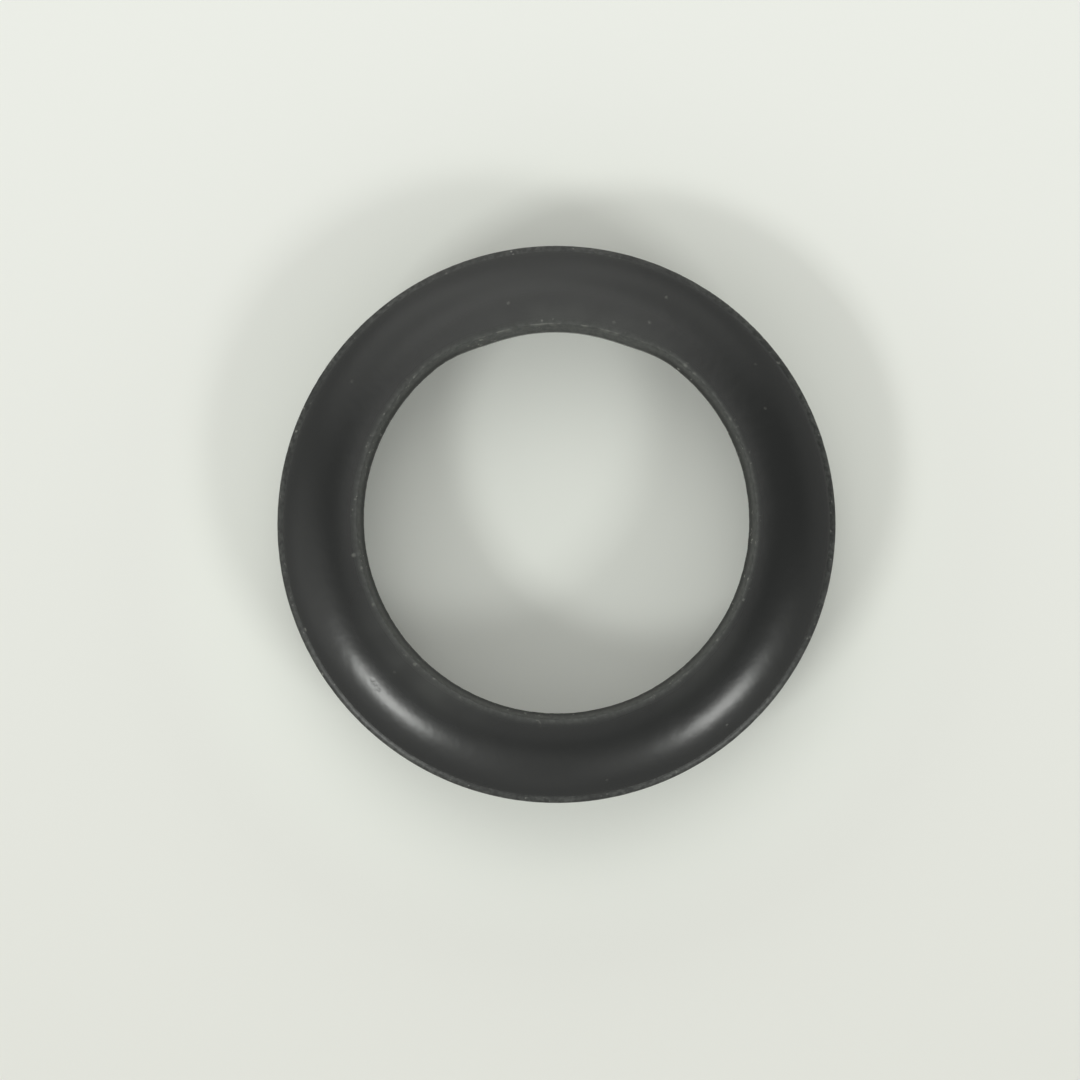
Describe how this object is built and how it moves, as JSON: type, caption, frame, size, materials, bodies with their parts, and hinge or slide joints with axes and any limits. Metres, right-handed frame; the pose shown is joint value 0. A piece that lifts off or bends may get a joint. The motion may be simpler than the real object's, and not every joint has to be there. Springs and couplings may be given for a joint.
{
  "type": "fork dust seal",
  "caption": "One-piece moulded rubber ring with a domed top, a trimmed wiper lip inside, a thin flange and a plain press-in collar; it keeps dirt off the top of a fork slider.",
  "frame": {"origin": "centre of the ring at the collar's end, which it stands on", "axes": "+Z along the ring's axis, from the collar up to the dome and lip; the section is the same all round, so +X and +Y are only the view's right and up"},
  "size_m": [0.05, 0.05, 0.0115],
  "materials": {
    "moulded_rubber": "black moulded nitrile rubber, satin dome, matt trimmed lip"
  },
  "bodies": {
    "root": {"dust_seal": "moulded_rubber"}
  },
  "joints": []
}
